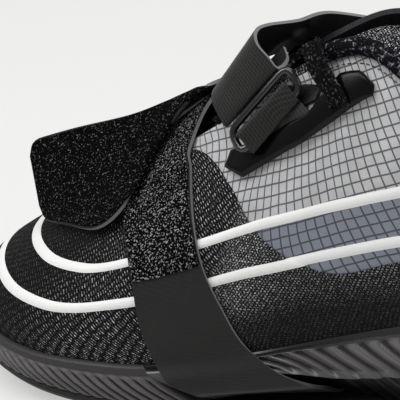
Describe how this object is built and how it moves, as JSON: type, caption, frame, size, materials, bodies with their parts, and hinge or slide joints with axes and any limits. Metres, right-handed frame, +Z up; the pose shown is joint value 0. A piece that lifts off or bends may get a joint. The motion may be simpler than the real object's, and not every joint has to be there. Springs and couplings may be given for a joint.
{
  "type": "weightlifting shoe",
  "caption": "Left weightlifting shoe with a raised hard heel, ribbed forefoot cup, hollow cloth upper, laced throat and open hook-and-loop straps, empty and standing on its sole.",
  "frame": {"origin": "On the floor plane under the middle of the heel, on the outsole's flat heel face", "axes": "+X points to the heel and the toe points to -X, +Z is up, and the outer side is -Y"},
  "size_m": [0.3009, 0.1077, 0.1379],
  "materials": {
    "outsole_rubber": "matte black rubber with cross grooves",
    "cup_rubber": "matte grey-black rubber, ribbed",
    "wedge_plastic": "hard glossy black heel wedge with flutes",
    "foam": "cloth-faced foam sheet",
    "upper_cloth": "black engineered mesh and light grey ripstop with white piping",
    "knit": "padded black knit",
    "braid": "speckled braided binding",
    "lace_cloth": "flat ribbed black lace",
    "strap_cloth": "dark satin strap with hook-and-loop faces",
    "tab_webbing": "dark woven webbing",
    "base_plastic": "hard satin black plate",
    "ring_metal": "dark coated steel wire"
  },
  "bodies": {
    "root": {"outsole": "outsole_rubber", "forefoot_cup": "cup_rubber", "heel_midsole": "wedge_plastic", "insole": "foam", "upper": "upper_cloth", "tongue": "knit", "collar_rim": "braid", "lace": "lace_cloth", "front_strap": "strap_cloth", "rear_strap": "strap_cloth", "rear_ring": "ring_metal", "rear_ring_base": "base_plastic", "rear_ring_tab": "tab_webbing", "front_ring": "ring_metal", "front_ring_tab": "tab_webbing", "lace_strip": "lace_cloth"}
  },
  "joints": []
}
